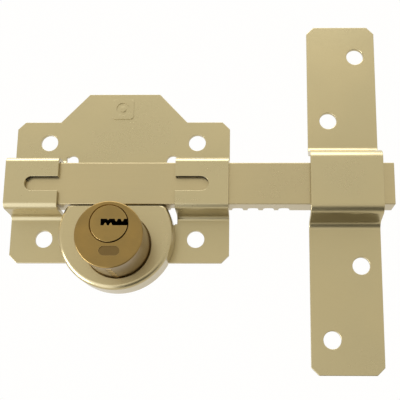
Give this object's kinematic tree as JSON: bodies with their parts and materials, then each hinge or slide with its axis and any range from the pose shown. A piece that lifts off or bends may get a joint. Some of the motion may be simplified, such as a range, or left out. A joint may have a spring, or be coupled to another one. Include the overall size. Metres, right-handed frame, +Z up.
{
  "type": "surface-mounted bolt lock",
  "caption": "Surface-mounted door lock: a keyed cylinder drives a long rectangular bolt through a separate strap keeper.",
  "frame": {"origin": "on the door face, on the bolt's centre line, midway between the four fixing holes of the case plate", "axes": "+X along the bolt toward the keeper, +Y into the door, +Z up; the room side is -Y"},
  "size_m": [0.188, 0.0356, 0.1799],
  "materials": {
    "satin_gold": "steel with a satin pale-gold lacquer",
    "cylinder_brass": "satin brass, darker than the case",
    "pin_brass": "turned brass",
    "plain_steel": "plain zinc-coated steel"
  },
  "bodies": {
    "case": {"case_plate": "satin_gold", "keeper_strap": "satin_gold", "cylinder_housing": "satin_gold", "cylinder_body": "cylinder_brass", "retaining_plate": "plain_steel", "housing_screw_1": "plain_steel", "housing_screw_2": "plain_steel", "housing_screw_3": "plain_steel", "housing_screw_4": "plain_steel", "retaining_screw_1": "plain_steel", "retaining_screw_2": "plain_steel", "driver_pin_1": "plain_steel", "driver_pin_2": "plain_steel", "driver_pin_3": "plain_steel", "driver_pin_4": "plain_steel", "driver_pin_5": "plain_steel", "pin_spring_1": "plain_steel", "pin_spring_2": "plain_steel", "pin_spring_3": "plain_steel", "pin_spring_4": "plain_steel", "pin_spring_5": "plain_steel", "chamber_cap_1": "pin_brass", "chamber_cap_2": "pin_brass", "chamber_cap_3": "pin_brass", "chamber_cap_4": "pin_brass", "chamber_cap_5": "pin_brass"},
    "bolt": {"bolt_bar": "satin_gold"},
    "pinion": {"drive_pinion": "plain_steel"},
    "plug": {"cylinder_plug": "cylinder_brass", "tail_bar": "plain_steel", "tail_pin": "plain_steel", "plug_clip": "plain_steel", "key_pin_1": "pin_brass", "key_pin_2": "pin_brass", "key_pin_3": "pin_brass", "key_pin_4": "pin_brass", "key_pin_5": "pin_brass"}
  },
  "joints": [
    {"name": "bolt_slide", "type": "slide", "parent": "case", "child": "bolt", "axis": [-1, 0, 0], "range_m": [0, 0.076]},
    {"name": "pinion_turn", "type": "hinge", "parent": "case", "child": "pinion", "pos_m": [0.0015, -0.0037, -0.0259], "axis": [0, -1, 0], "range_deg": [0, 256.5]},
    {"name": "plug_turn", "type": "hinge", "parent": "case", "child": "plug", "pos_m": [0.0015, -0.02, -0.0259], "axis": [0, -1, 0], "range_deg": [0, 360]}
  ],
  "couplings": [
    {"joint": "pinion_turn", "follows": "bolt_slide", "rad_per_m": 58.824},
    {"joint": "plug_turn", "follows": "bolt_slide", "rad_per_m": 82.67}
  ]
}
